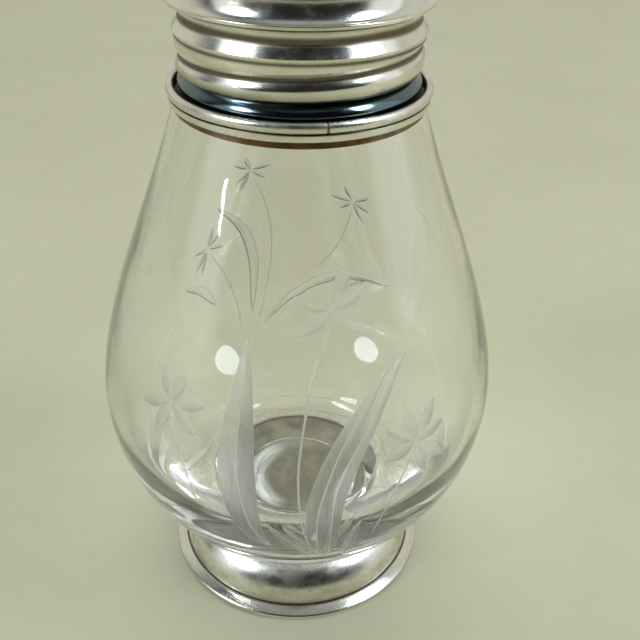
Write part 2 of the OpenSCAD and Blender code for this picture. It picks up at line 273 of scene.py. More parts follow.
# The sleeve's own blue-black tarnish, darkened further as painted shade under the lid
silver_sleeve = silver("silver_sleeve", BLACK_SILVER_AND_SHADE, 0.12, BLACK_TARNISH_AND_SHADE, haze=0.4)
silver_dull = silver("silver_dull", DULL_SILVER, 0.30, haze=2.0)
print("silver finishes:", silver_bright.name, silver_foot.name, silver_sleeve.name, silver_dull.name)

# %% [markdown]
# ## Glass, cement and cork
# The body is clear blown glass. Its polished skin is left as it came from the fire, while the wheel-cut
# petals and blades keep the fine grain of the stone wheel and look satin. Light and shade on the cuts are
# painted: the slope of each cut towards the light is painted pale and the other painted dark, and seen
# from inside, a cut's edge is painted dark. Plaster fills the foot and shows as a brown disc under the
# base, with a pale crescent painted on its left as a reflection, and a ring of brown cement shows through
# the glass under the collar.

# %% Glass, cement and cork
GLASS_IOR, GLASS_SHADOW = 1.5, (0.80, 0.81, 0.79)
# Grey and white of ground glass; the white also paints the lit slopes, and the dark paints shade
GROUND_GREY, FROST_AND_LIGHT_WHITE, PAINTED_SHADE_COLOUR = (0.40, 0.42, 0.38), (0.86, 0.88, 0.84), (0.10, 0.11, 0.10)
# How much light the slopes and the ribs of a cut scatter, and a rib's width in millimetres
SLOPE_FROST, RIB_FROST, RIB_MM = 0.48, 0.85, 0.16
# How strongly the slope to the light is painted pale, and the other painted dark
PAINTED_PALE_SLOPE, PAINTED_DARK_SLOPE = 0.17, 0.20
# Painted shade from inside: its strength on a cut's edge, its width, a broad cut's width, the lit side's
# share
SHADE, SHADE_MM, BROAD_MM, PALE_SIDE = 0.8, 0.45, 0.5, 0.3
# After how many turns inside the wall light is let out, and how much of it
CAUGHT_TURNS, CAUGHT_SHARE = 1.5, 0.16
PAINTED_REFLECTION_R, PAINTED_REFLECTION_W, PAINTED_REFLECTION_COLOUR = 11.0 * MM, 3.8 * MM, (0.86, 0.86, 0.82)


def matt(f, colour, kind="ShaderNodeBsdfDiffuse"):
    """A shader that is all one colour."""
    return f.add(kind, {"Color": (*colour, 1.0)})


def mixed(f, share, first, second):
    """A shader between two others."""
    made = f.add("ShaderNodeMixShader", {"Fac": share}, None)
    f.feed(made.inputs[1], first)
    f.feed(made.inputs[2], second)
    return made.outputs[0]


def glass(name, rough, tint, cut=False):
    f = Finish(name)
    f.set(Base_Color=(*tint, 1.0), Transmission_Weight=1.0, IOR=GLASS_IOR)
    surface = f.shader.outputs[0]
    if cut:
        wheel = f.noise(1.0, 3, 0.6, f.stretched(2600, 2600, 420))
        f.set(Roughness=rough + (wheel - 0.5) * 0.2, Normal=f.bump(wheel, 0.25, 0.0001))
        # Ground glass scatters light: a little on its slopes, more on the ribs where two slopes meet
        satin, painted_light_side = f.mask("satin"), f.mask("painted_light_side")
        from_middle, from_edge = f.mask("from_middle"), f.mask("from_edge")
        rib, rim = (distance.rise(RIB_MM, RIB_MM / 3) for distance in (from_middle, from_edge))
        edges = rib.math("MAXIMUM", rim * 0.8)
        grey, white, dark = (matt(f, colour) for colour in (GROUND_GREY, FROST_AND_LIGHT_WHITE, PAINTED_SHADE_COLOUR))
        from_inside = f.add("ShaderNodeNewGeometry", out="Backfacing")
        from_outside = 1 - from_inside
        drag = f.noise(1.0, 3, 0.6, f.stretched(1500, 1500, 90)).rise(0.25, 0.75)
        surface = mixed(f, satin * SLOPE_FROST * (drag * 0.6 + 0.6) * from_outside, surface, grey)
        surface = mixed(f, edges * satin**0.5 * RIB_FROST * from_outside, surface, white)
        # Painted light: the slope towards the light is painted pale and the other painted dark
        surface = mixed(f, painted_light_side.rise(0.0, 0.9) * PAINTED_PALE_SLOPE * from_outside, surface, white)
        surface = mixed(f, painted_light_side.rise(-0.1, -1.0) * PAINTED_DARK_SLOPE * from_outside, surface, dark)
        # Seen from inside the glass, the steep edge of a cut is painted dark as shade
        steep = from_edge.rise(SHADE_MM, SHADE_MM / 4)
        broad = (from_edge + from_middle).rise(0.0, BROAD_MM)
        lower = painted_light_side.rise(0.8, -0.8) * (1 - PALE_SIDE) + PALE_SIDE
        surface = mixed(f, steep * broad * lower * from_inside * SHADE, surface, dark)
    else:
        f.set(Roughness=rough, Normal=f.bump(f.noise(32, 2), 0.10, 0.002))
    # Light for the shadow goes straight through, as it does in thin clear glass
    shadow = f.add("ShaderNodeLightPath", out="Is Shadow Ray")
    clear = matt(f, GLASS_SHADOW, "ShaderNodeBsdfTransparent")
    # Some of the light that turns again and again inside the wall is let out, as by a real wall's flaws
    caught = f.add("ShaderNodeLightPath", out="Glossy Depth").math("GREATER_THAN", CAUGHT_TURNS)
    passed = shadow.math("MAXIMUM", caught * CAUGHT_SHARE)
    f.feed(f.output.inputs["Surface"], mixed(f, passed, surface, clear))
    return f.material


def mineral(name, dark, pale, scale, rough, painted_reflection=False):
    """Plaster, cement or cork: a matt grain between a dark and a pale tone."""
    f = Finish(name)
    grain = f.noise(scale, 6, 0.65)
    smear = f.noise(scale / 4, 3, 0.6).rise(0.42, 0.70)
    tone = f.blend(smear * 0.7 + grain * 0.3, dark, pale)
    if painted_reflection:
        # A painted reflection: a pale crescent on the left of the plaster bed
        x, y, _ = f.split(f.place)
        radius = (x * x + y * y) ** 0.5
        ring = (radius - PAINTED_REFLECTION_R).math("ABSOLUTE").rise(PAINTED_REFLECTION_W, 0.0)
        patchy = f.noise(1.0, 3, 0.6, f.around(0.9, 700)).rise(0.25, 0.6)
        tone = f.blend(ring * (x / radius).rise(-0.1, -0.85) * patchy, tone, PAINTED_REFLECTION_COLOUR)
    f.set(Base_Color=tone, Roughness=rough, Normal=f.bump(grain, 0.4, 0.0004))
    return f.material


glass_clear = glass("glass_clear", 0.0, (0.995, 0.995, 0.99))
glass_cut = glass("glass_cut", 0.38, (0.97, 0.98, 0.97), cut=True)
plaster = mineral("plaster", (0.063, 0.047, 0.018), (0.245, 0.22, 0.14), 420, 0.75, painted_reflection=True)
cement = mineral("cement", (0.095, 0.045, 0.0), (0.27, 0.15, 0.02), 700, 0.6)
cork = mineral("cork", (0.30, 0.17, 0.075), (0.52, 0.34, 0.18), 1500, 0.85)
print("glass and fillings:", glass_clear.name, glass_cut.name, plaster.name, cement.name, cork.name)

# %% [markdown]
# ## Turned pieces
# A silversmith raises or spins these pieces and finishes them on a lathe, so each is one outline turned
# about the axis. Sharp corners get the small round that polishing leaves. The outline also carries the
# mask of tarnish and painted shade: the deeper a point lies in a hollow, the darker it is.

# %% Turning
COLUMNS, SHARP_DEGREES = 192, 32


def bezier(a, b, c, d, steps=24):
    """A curve from a to d that starts towards b and ends from c."""
    t = np.linspace(0, 1, steps + 1)[:, None]
    a, b, c, d = (np.array(p, float) for p in (a, b, c, d))
    return ((1 - t) ** 3 * a + 3 * (1 - t) ** 2 * t * b + 3 * (1 - t) * t**2 * c + t**3 * d).tolist()


def arc(centre, width, height, start=0, end=90, count=25):
    """Points on an ellipse between two angles, or on its quarter from the side to the top."""
    turns = np.radians(np.linspace(start, end, count))
    return [[centre[0] + width * math.cos(a), centre[1] + height * math.sin(a)] for a in turns]


def rounded(points, steps=5):
    """Replaces each corner [radius, height, round] by a small curve; a corner without a round stays."""
    done = []
    for k, corner in enumerate(points):
        here = np.array(corner[:2], float)
        if len(corner) < 3:
            done.append(here.tolist())
            continue
        sides = (np.array(points[m][:2], float) for m in (k - 1, (k + 1) % len(points)))
        start, end = ((p - here) / np.linalg.norm(p - here) * corner[2] + here for p in sides)
        for t in np.linspace(0, 1, steps):
            done.append(((1 - t) ** 2 * start + 2 * t * (1 - t) * here + t * t * end).tolist())
    return done


def mesh_piece(name, points, faces, materials, body, node, masks, sharp=SHARP_DEGREES):
    """One piece from points in millimetres, with the body it rides on and the node it stands for."""
    mesh = bpy.data.meshes.new(name)
    mesh.from_pydata((np.array(points, float) * MM).tolist(), [], faces)
    mesh.validate()
    mesh.shade_smooth()
    mesh.set_sharp_from_angle(angle=math.radians(sharp))
    for key, values in masks.items():
        mesh.attributes.new(key, "FLOAT", "POINT").data.foreach_set("value", np.array(values, np.float32))
    for material in materials:
        mesh.materials.append(material)
    piece = new_object(name, mesh)
    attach(piece, body)
    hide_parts(node)
    return piece


def plain_node(name, material):
    """A simple piece that is shown as the CAD model has it, with a finish of its own."""
    piece = frame["nodes"][name]
    piece.data.materials.clear()
    piece.data.materials.append(material)
    return piece


def add_ring(points, r, z, angles):
    """Adds a ring of points, or one point on the axis, and returns their numbers."""
    first = len(points)
    if r < 1e-6:
        points.append((0, 0, z))
        return [first] * len(angles)
    points += [(r * math.cos(a), r * math.sin(a), z) for a in angles]
    return list(range(first, first + len(angles)))


def ring_faces(low, high):
    """The faces between two rings. At a point on the axis they have three corners."""
    faces = []
    for ring in zip(low, low[1:] + low[:1], high[1:] + high[:1], high):
        corners = [v for k, v in enumerate(ring) if v != ring[k - 1]]
        if len(corners) > 2:
            faces.append(corners)
    return faces


def turned_mesh(outline, columns=COLUMNS):
    """Points and faces of a closed outline, up its outside and down its inside, turned about the axis."""
    angles = np.linspace(0, 2 * math.pi, columns, endpoint=False)
    points, faces = [], []
    rows = [add_ring(points, r, z, angles) for r, z in outline]
    for low, high in zip(rows, rows[1:] + rows[:1]):
        faces += ring_faces(low, high)
    return points, faces


def turned(name, outline, material, body, node, tarnish_and_shade=None, columns=COLUMNS):
    """A turned piece, with its tarnish and painted shade given by radius and height."""
    points, faces = turned_mesh(outline, columns)
    dark = [tarnish_and_shade(math.hypot(x, y), z) if tarnish_and_shade else 0.0 for x, y, z in points]
    return mesh_piece(name, points, faces, [material], body, node, {"tarnish_and_shade": dark})


def near(value, middle, width):
    """1 at the middle, falling to 0 at that width from it."""
    return max(0.0, 1 - abs(value - middle) / width)


print("turning tools ready,", COLUMNS, "columns")

# %% [markdown]
# ## The foot
# A cast ring stands on the table, with a worn bevel. A domed sheet is soldered on it, and the joint is
# painted dark as shade in the gap between them. Inside, plaster beds the glass. It has shrunk off the
# glass by a hair, so the base mirrors light that comes in low and shows the brown plaster only from
# above.

# %% Foot
EDGE_H, BEVEL_W, RIM_LAND, FOOT_SHEET, DOME_LIP_R = 1.2, 2.2, 1.8, 0.8, 20.85
SEAT_R, PEG_R, DISC_TOP, PLASTER_GAP, SEAT_GAP = 20.8, 17.5, 1.05, 0.05, 0.35
HOLLOW_R, HOLLOW_H, HOLLOW_BEVEL = 14.5, 0.6, 0.8
rim_in_r = dome_r - RIM_LAND
dome_centre, dome_w, dome_h = (DOME_LIP_R, dome_z), dome_r - DOME_LIP_R, foot_top_z - dome_z

foot_rim = turned(
    "foot_rim_turned",
    rounded([
        [rim_in_r, 0, 0.1], [foot_r, 0, 0.2], [foot_r, EDGE_H, 0.35],
        [foot_r - BEVEL_W, rim_top_z, 0.3], [rim_in_r, rim_top_z],
    ]),
    silver_bright, "caster_body", "foot_rim",
    # Painted shade in the gap where the dome meets the rim
    lambda r, z: near(r, dome_r + 0.1, 0.5) * (z > EDGE_H),
)
dome_outside = arc(dome_centre, dome_w, dome_h, count=41)
dome_inside = arc(dome_centre, dome_w - FOOT_SHEET, dome_h - FOOT_SHEET)
foot_dome = turned(
    "foot_dome_turned", dome_outside + dome_inside[::-1],
    silver_foot, "caster_body", "foot_dome",
    # Painted shade at the dome's foot in the gap to the rim, and at its top under the overhanging glass
    lambda r, z: max(near(z, dome_z, 0.7), 0.8 * near(r, DOME_LIP_R, 1.1)),
)
under_sheet = FOOT_SHEET + PLASTER_GAP
plaster_top = arc(dome_centre, dome_w - under_sheet, dome_h - under_sheet)
plaster_r, bed_z = rim_in_r - PLASTER_GAP, plaster_top[-1][1]
hollow_r, hollow_z = HOLLOW_R - HOLLOW_BEVEL, peg_z + HOLLOW_BEVEL
hollow = [[HOLLOW_R, peg_z]]
hollow += [[hollow_r * s, hollow_z + HOLLOW_H * (1 - s * s)] for s in np.linspace(1, 0, 14)]
foot_fill = turned(
    "foot_fill",
    [[0, DISC_TOP], [plaster_r, DISC_TOP], [plaster_r, rim_top_z]]
    + [p for p in plaster_top if p[0] < plaster_r - 0.01]
    + [[SEAT_R - SEAT_GAP, bed_z], [PEG_R, peg_z - PLASTER_GAP]]
    + [[r, z - PLASTER_GAP] for r, z in hollow],
    plaster, "caster_body", "foot_cement", columns=96,
)
foot_disc = plain_node("foot_disc", silver_dull)
print("foot pieces:", foot_rim.name, foot_dome.name, foot_fill.name, foot_disc.name)

# %% [markdown]
# ## The glass outline
# The body was blown in a mould: one smooth pear curve outside, and a wall that gets thicker towards the
# base. Two curves meet at the widest point, outside and inside.

# %% Glass outline
BODY_MID, SEAT_SLOPE, NECK_SLOPE = 50.0, math.radians(31.4), 0.27
NECK_R, NECK_IN_R, BODY_WALL = 23.8, 21.8, 2.8
FLOOR_R, FLOOR_Z, FLOOR_STEP, FLOOR_SLOPE, FLOOR_REACH = 20.8, 24.2, 0.9, math.radians(20), 8.54
# How far each curve runs straight on from its ends, in millimetres
BELLY, SHOULDER, BASIN = 15.99, 18.72, 16.38

outside = np.array(
    bezier((SEAT_R, foot_top_z),
           (SEAT_R + BELLY * math.cos(SEAT_SLOPE), foot_top_z + BELLY * math.sin(SEAT_SLOPE)),
           (body_r, BODY_MID - BELLY), (body_r, BODY_MID), 200)
    + bezier((body_r, BODY_MID), (body_r, BODY_MID + SHOULDER),
             (NECK_R + NECK_SLOPE * SHOULDER, glass_top_z - SHOULDER), (NECK_R, glass_top_z), 200)[1:]
)
inside = (
    bezier((NECK_IN_R, glass_top_z), (NECK_IN_R + NECK_SLOPE * SHOULDER, glass_top_z - SHOULDER),
           (body_r - BODY_WALL, BODY_MID + SHOULDER), (body_r - BODY_WALL, BODY_MID), 30)
    + bezier((body_r - BODY_WALL, BODY_MID), (body_r - BODY_WALL, BODY_MID - BASIN),
             (FLOOR_R + FLOOR_REACH * math.cos(FLOOR_SLOPE),
              FLOOR_Z + FLOOR_STEP + FLOOR_REACH * math.sin(FLOOR_SLOPE)),
             (FLOOR_R, FLOOR_Z + FLOOR_STEP), 36)[1:-1]
    + rounded([[FLOOR_R, FLOOR_Z + FLOOR_STEP, 0.3], [FLOOR_R - FLOOR_STEP, FLOOR_Z, 0.3], [0, FLOOR_Z]])
)


def lengths(line):
    """The length along a line up to each of its points."""
    return np.concatenate([[0], np.cumsum(np.hypot(*np.diff(line, axis=0).T))])


length_at = lengths(outside)
# Radius and height by the length along the outline, and that length by height
radius_at, height_at = (partial(np.interp, xp=length_at, fp=part) for part in outside.T)
length_of = partial(np.interp, xp=outside[:, 1], fp=length_at)
print("outline of the glass is", round(length_at[-1], 1), "mm long")

# %% [markdown]
# ## The wheel-cut flowers
# A cutter held the glass against a small stone wheel. Each petal and blade is one stroke with a ridge of
# two slopes, deepest along its middle line. A stroke here is a middle line of a few points (degrees round
# the body from the front, height in millimetres), a half width and a shape. One spray is on the front and
# its sister on the back, where the photograph shows it through the glass.

# %% Sprays
# Each flower: its middle, then the tips of its petals
FRONT_FLOWERS = [
    [(-36.2, 66.2), (-40.1, 73.2), (-32.1, 72.7), (-24.2, 67.9), (-25.7, 60.9), (-40.5, 58.1),
     (-46.5, 63.7)],
    [(32.3, 59.1), (29.7, 67.6), (22.8, 63.9), (22.2, 56.6), (35.5, 50.8), (42.2, 52.4), (42.4, 61.0),
     (39.8, 66.6)],
    [(9.8, 86.8), (15.9, 94.2), (21.5, 90.3), (22.0, 82.7), (-0.6, 82.3), (-1.4, 89.3)],
]
BACK_FLOWERS = [
    [(-21.1, 86.1), (-30.5, 88.5), (-25.1, 90.2), (-12.0, 86.9), (-14.1, 82.7), (-27.3, 82.2),
     (-25.7, 79.0)],
    [(-36.8, 63.4), (-35.0, 70.9), (-31.3, 67.9), (-29.6, 62.7), (-43.0, 62.9), (-42.1, 56.3),
     (-38.8, 55.0)],
    [(22.1, 76.3), (12.3, 77.5), (18.7, 81.5), (30.3, 78.6), (29.9, 73.5), (26.2, 69.6), (15.6, 73.3)],
]
FRONT_STEMS = [
    [(10.3, 85.9), (7.6, 81), (4.3, 75.9), (2.1, 68.7), (0.4, 58.9), (0.4, 50.9), (1.6, 42.2),
     (4.4, 32.8)],
    [(-36, 65), (-33.9, 60.8), (-31.6, 57.1), (-30.3, 54.1), (-27, 46)],
    [(31.2, 56.9), (27.3, 51.5), (23.8, 44.2), (21.1, 36.3)],
]
BACK_STEMS = [
    [(-20, 84.1), (-14.3, 76.4), (-11, 66.4), (-10.7, 56.4), (-13.6, 42.7), (-18.7, 33.4)],
    [(-35.9, 62.2), (-28.9, 53.5), (-24.6, 44.1), (-23.6, 34.1)],
    [(22, 75), (18.6, 67.4), (15, 61), (10.2, 55.5), (5.5, 52)],
]
# Each blade: its middle line, its half width, and how far along it is widest
FRONT_BLADES = [
    ([(-14.8, 82.1), (-14.8, 74.3), (-15.6, 64.9), (-15.7, 56.6), (-14.2, 47), (-11.6, 40),
      (-7.4, 35.6)], 3.7, 0.58),
    ([(26.8, 76.2), (21.1, 71.8), (13.5, 64.2), (8.2, 55.3), (5.4, 45.2), (6.0, 31)], 2.7, 0.6),
    ([(35.1, 79.7), (27.7, 74.3), (19.0, 65.4), (12.0, 56.0), (9.3, 47), (9.5, 30)], 2.0, 0.6),
    ([(-8.1, 43.7), (-3.3, 38.5), (0.9, 34.6), (5.0, 31.2)], 1.0, 0.5),
    ([(-4.0, 43.4), (0.6, 38.2), (6.3, 32)], 0.8, 0.5),
    ([(17.1, 43.2), (15.3, 38.3), (14.2, 29)], 1.2, 0.5),
]
BACK_BLADES = [
    ([(-34.8, 76.2), (-24.4, 69.3), (-19.3, 62.3), (-17.1, 52.7), (-18.6, 38.9)], 1.5, 0.5),
    ([(-46.8, 53), (-39, 50.2), (-33, 44)], 1.4, 0.5),
    ([(-15, 35), (-3.7, 42.8), (4.6, 47), (11.5, 49.6), (20, 51.5), (30, 51.5), (36, 51.2)], 1.5, 0.6),
]
SPRAYS = (FRONT_FLOWERS, FRONT_STEMS, FRONT_BLADES, False), (BACK_FLOWERS, BACK_STEMS, BACK_BLADES, True)
print("flowers:", len(FRONT_FLOWERS), "on the front and", len(BACK_FLOWERS), "on the back")

# %% Strokes
# Half widths in millimetres, how far along a petal is widest, and how full the ends are
STEM_W, PETAL_W, BACK_PETAL_W, PETAL_PEAK = 0.21, 1.5, 0.54, 0.5
PETAL_FULLNESS, BLADE_FULLNESS, STEM_TAPER = 1.15, 0.7, 8
# Depth for each millimetre of half width, and the deepest cut
FRONT_SLOPE, BACK_SLOPE, CUT_DEEPEST = 0.17, 0.35, 0.5
# How satin each kind of stroke is, and the gap between points along it
BLADE_SATIN, PETAL_SATIN, STEM_SATIN = 1.0, 0.12, 0.45
STROKE_GAP, PETAL_GAP = 0.8, 0.6
# The way to the painted light on the unrolled glass, and the room round a stroke in which spots are
# measured
PAINTED_LIGHT_WAY, ROOM_ROUND, FAR_OUTSIDE = np.array((-0.5, 0.87)), 9, -9.0
DEGREE = math.pi / 180


def smooth_line(points, gap):
    """A smooth line through a few points, cut into pieces of about that gap."""
    p = np.array([points[0], *points, points[-1]], float)
    t, fine = np.linspace(0, 1, 12, endpoint=False)[:, None], []
    for a, b, c, d in zip(p, p[1:], p[2:], p[3:]):
        square, cube = 2 * a - 5 * b + 4 * c - d, 3 * b - a - 3 * c + d
        fine.append(0.5 * (2 * b + (c - a) * t + square * t**2 + cube * t**3))
    fine = np.concatenate([*fine, p[-1:]])
    run = lengths(fine)
    count = max(4, int(run[-1] / gap))
    marks = np.linspace(0, run[-1], count + 1)
    return np.stack([np.interp(marks, run, fine[:, k]) for k in (0, 1)], axis=1)


class Stroke:
    """One stroke of the wheel on the unrolled glass: degrees round the body, length up its outline."""

    def __init__(self, points, half_width, peak, fullness, slope, satin, gap):
        line = np.array([(a, length_of(z)) for a, z in points], float)
        scale = radius_at(line[:, 1].mean()) * DEGREE
        self.line = smooth_line(line * (scale, 1), gap) / (scale, 1)
        t = np.linspace(0, 1, len(self.line))
        if peak is None:
            self.width = half_width * np.clip(STEM_TAPER * np.minimum(t, 1 - t), 0, 1)
        else:
            swell = np.sin(math.pi * t ** (math.log(0.5) / math.log(peak)))
            self.width = half_width * np.clip(swell, 0, 1) ** fullness
        self.width[0] = self.width[-1] = 0
        self.depth = np.minimum(self.width * slope, CUT_DEEPEST)
        self.satin = satin

    def outline(self):
        """The two edges of the stroke, without its tips."""
        to_mm = np.stack([radius_at(self.line[:, 1]) * DEGREE, np.ones(len(self.line))], axis=1)
        way = np.gradient(self.line, axis=0) * to_mm
        side = np.stack([-way[:, 1], way[:, 0]], axis=1) / np.hypot(*way.T)[:, None]
        shift = side * self.width[:, None] / to_mm
        return self.line[1:-1] + shift[1:-1], self.line[1:-1] - shift[1:-1]

    def measure(self, spots):
        """For each spot: how far inside it lies (1 on the middle line, 0 on the edge), its depth, how far
        it is from the middle line and from the edge, and how far it lies towards the painted light."""
        best = np.full(len(spots), FAR_OUTSIDE)
        depth, middle, edge, painted_light_side = np.zeros((4, len(spots)))
        scale = radius_at(self.line[:, 1].mean()) * DEGREE
        low, high = self.line.min(0) - ROOM_ROUND, self.line.max(0) + ROOM_ROUND
        close = np.where(((spots > low) & (spots < high)).all(1))[0]
        p = spots[close] * (scale, 1)
        line, w, d = self.line * (scale, 1), self.width, self.depth
        for a, b, wa, wb, da, db in zip(line, line[1:], w, w[1:], d, d[1:]):
            t = np.clip(((p - a) @ (b - a)) / max((b - a) @ (b - a), 1e-12), 0, 1)
            gap = p - a - t[:, None] * (b - a)
            off = np.hypot(*gap.T)
            width = np.maximum(wa + (wb - wa) * t, 1e-4)
            inside_by = 1 - off / width
            better = inside_by > best[close]
            chosen = close[better]
            best[chosen] = inside_by[better]
            depth[chosen] = ((da + (db - da) * t) * np.clip(inside_by, 0, 1))[better]
            middle[chosen], edge[chosen] = off[better], np.maximum(width - off, 0)[better]
            painted_light_side[chosen] = np.clip(gap @ PAINTED_LIGHT_WAY / width, -1, 1)[better]
        return best, depth, middle, edge, painted_light_side


def sprays():
    """Every stroke on the body: the front spray, and the back one as it is seen through the glass."""
    made = []
    for flowers, stems, blades, back in SPRAYS:
        slope, petal_w = (BACK_SLOPE, BACK_PETAL_W) if back else (FRONT_SLOPE, PETAL_W)

        def cut(points, half, peak, fullness, satin, gap=STROKE_GAP):
            placed = [(180 - a if back else a, z) for a, z in points]
            made.append(Stroke(placed, half, peak, fullness, slope, satin, gap))

        for points, half, peak in blades:
            cut(points, half, peak, BLADE_FULLNESS, BLADE_SATIN)
        for points in stems:
            cut(points, STEM_W, None, 1, STEM_SATIN)
        for centre, *tips in flowers:
            for tip in tips:
                cut([centre, tip], petal_w, PETAL_PEAK, PETAL_FULLNESS, PETAL_SATIN, PETAL_GAP)
    return made


strokes = sprays()
print("strokes of the wheel:", len(strokes))

# %% [markdown]
# ## The cut glass body
# The outside is one sheet of triangles on the unrolled glass. The edges and middle lines of the strokes
# are lines of that sheet, so each cut has crisp edges and two clean slopes. The sheet is then rolled up,
# cuts are pressed inwards by their depth, and the inside and the peg in the plaster close the body.

# %% Unrolled sheet
SEAM, GRID_DEGREES, GRID_MM, CLEAR_OF_CUTS = -90.0, 3.0, 2.0, -0.25
# Heights in millimetres and the share of satin that the polishing left there
SATIN_FADE = (46, 58, 70), (1.0, 0.75, 0.4)
MM_PER_DEGREE = body_r * DEGREE


def unrolled_sheet():
    """Spots (degrees, length), triangles, and which triangles lie in a cut."""
    columns = np.arange(SEAM, SEAM + 360 + GRID_DEGREES / 2, GRID_DEGREES)
    rows = np.linspace(0, length_at[-1], int(length_at[-1] / GRID_MM) + 1)
    grid = np.array([(a, s) for s in rows for a in columns])
    reach = np.max([stroke.measure(grid)[0] for stroke in strokes], axis=0)
    spots, edges = [tuple(p) for p in grid[reach < CLEAR_OF_CUTS]], []
    for stroke in strokes:
        first = len(spots)
        spots += [tuple(p) for p in stroke.line]
        runs = [list(range(first, len(spots)))]
        for side in stroke.outline():
            runs.append([first, *range(len(spots), len(spots) + len(side)), runs[0][-1]])
            spots += [tuple(p) for p in side]
        for run in runs:
            edges += list(zip(run, run[1:]))
    flat = [Vector((a * MM_PER_DEGREE, s)) for a, s in spots]
    found, _, triangles, *_ = delaunay_2d_cdt(flat, edges, [], 0, 1e-4)
    spots = np.array([(v.x / MM_PER_DEGREE, v.y) for v in found])
    triangles = np.array([t for t in triangles if len(t) == 3])
    centres = spots[triangles].mean(axis=1)
    inside_by = np.max([stroke.measure(centres)[0] for stroke in strokes], axis=0)
    return spots, triangles, inside_by > 0


spots, triangles, in_cut = unrolled_sheet()
print("sheet:", len(triangles), "triangles,", in_cut.sum(), "of them cut")

# %% Glass body
CUT_SHARP_DEGREES = 9
measured = np.array([stroke.measure(spots) for stroke in strokes])
nearest = measured[:, 0].argmax(axis=0), np.arange(len(spots))
depth = measured[:, 1].max(axis=0)
along = spots[:, 1]
masks = {key: measured[:, k][nearest] for k, key in enumerate(("from_middle", "from_edge", "painted_light_side"), 2)}
masks["satin"] = np.array([stroke.satin for stroke in strokes])[nearest[0]]
masks["satin"] *= np.interp(height_at(along), *SATIN_FADE)
slope_r, slope_z = (np.interp(along, length_at, np.gradient(part, length_at)) for part in outside.T)
sheet_r, sheet_z = radius_at(along) - depth * slope_z, height_at(along) + depth * slope_r
angle = (spots[:, 0] - 90) * DEGREE
points = np.stack([sheet_r * np.cos(angle), sheet_r * np.sin(angle), sheet_z], axis=1).tolist()

# The two borders of the sheet meet at the seam: spots on the far border become those on the near one
keep = np.arange(len(spots))
near_seam = {round(s, 3): k for k, (a, s) in enumerate(spots) if abs(a - SEAM) < 1e-3}
for k, (a, s) in enumerate(spots):
    if abs(a - SEAM - 360) < 1e-3:
        keep[k] = near_seam[round(s, 3)]
faces = keep[triangles].tolist()
finish = in_cut.astype(int).tolist()

ring_angles = np.arange(SEAM, SEAM + 360 - 1e-6, GRID_DEGREES)


def close_with(length, outline, outward):
    """Adds rings along an outline to the border of the sheet at that length."""
    on_row = {round(a, 2): k for k, (a, s) in enumerate(spots) if abs(s - length) < 1e-3}
    row = [on_row[round(a, 2)] for a in ring_angles]
    for r, z in outline:
        new = add_ring(points, r, z, (ring_angles - 90) * DEGREE)
        faces.extend(ring_faces(row, new) if outward else ring_faces(row[::-1], new[::-1]))
        row = new


close_with(along.max(), inside, True)
close_with(along.min(), [[PEG_R, peg_z], *hollow], False)
finish += [0] * (len(faces) - len(finish))
glass_body = mesh_piece(
    "glass_body_cut", points, faces, [glass_clear, glass_cut], "caster_body", "glass_body",
    {key: [*values, *np.zeros(len(points) - len(spots))] for key, values in masks.items()},
    CUT_SHARP_DEGREES,
)
glass_body.data.polygons.foreach_set("material_index", finish)
print("glass body:", len(faces), "faces")

# %% [markdown]
# ## The neck
# The collar ring lies on the glass rim and carries an oval wire, whose ends meet in a butt joint near the
# front. The sleeve has the screw thread, and painted shade darkens it below its shoulder bead and
# under the lid's edge.

# %% Neck
SLEEVE_BORE, SLEEVE_R, CREST_R, SHOULDER_H, BED, WETTED = 20.2, 20.9, 21.95, 4.1, 0.05, 0.02
WIRE_W, GALLERY_DIP, SEAM_ANGLE, SEAM_W, SEAM_DEPTH, CEMENT_H = 1.6, 0.5, -79.0, 0.35, 0.04, 1.8
shoulder_z = collar_top_z + BED
shoulder_top = shoulder_z + SHOULDER_H

collar = turned(
    "collar_turned",
    rounded([
        [SLEEVE_R + BED, collar_z], [collar_r, collar_z, 0.5], [collar_r, collar_top_z, 0.2],
        [wire_r - WIRE_W, collar_top_z, 0.1], [wire_r - WIRE_W - 1, collar_top_z - GALLERY_DIP],
        [SLEEVE_R + BED, collar_top_z - GALLERY_DIP],
    ]),
    silver_bright, "caster_body", "collar_ring",
    # Painted shade under the wire, at the lower edge on the glass, and all over the gallery inside the
    # wire
    lambda r, z: max(near(z, collar_top_z, 0.25), near(z, collar_z, 0.2), 1.0 * (r < wire_r - WIRE_W)),
)
wire_mid, wire_mid_z = wire_r - WIRE_W / 2, (wire_z + wire_top_z) / 2
section = arc((wire_mid, wire_mid_z), WIRE_W / 2, wire_top_z - wire_mid_z, 0, 360, 33)[:-1]
wire_points, wire_faces = turned_mesh(section, 360)
wire_dark = []
for k, (x, y, z) in enumerate(wire_points):
    off = abs((math.degrees(math.atan2(y, x)) - SEAM_ANGLE + 180) % 360 - 180)
    nick = near(off, 0, SEAM_W)
    shrink = 1 - SEAM_DEPTH * nick
    r = math.hypot(x, y)
    new_r = wire_mid + (r - wire_mid) * shrink
    wire_points[k] = (x * new_r / r, y * new_r / r, wire_mid_z + (z - wire_mid_z) * shrink)
    # The butt joint is dark; the wire's underside and inner side are painted shade
    wire_dark.append(max(nick, 0.9 * near(z, wire_z, 0.35), 0.9 * (r < wire_mid - 0.55)))
rim_wire = mesh_piece(
    "rim_wire_drawn", wire_points, wire_faces, [silver_foot], "caster_body", "rim_wire",
    {"tarnish_and_shade": wire_dark},
)
neck_fill = turned(
    "neck_fill",
    [[SLEEVE_R + BED, glass_top_z - CEMENT_H],
     [NECK_IN_R + NECK_SLOPE * CEMENT_H + WETTED, glass_top_z - CEMENT_H],
     [NECK_IN_R + WETTED, glass_top_z], [SLEEVE_R + BED, glass_top_z]],
    cement, "caster_body", "neck_cement",
)
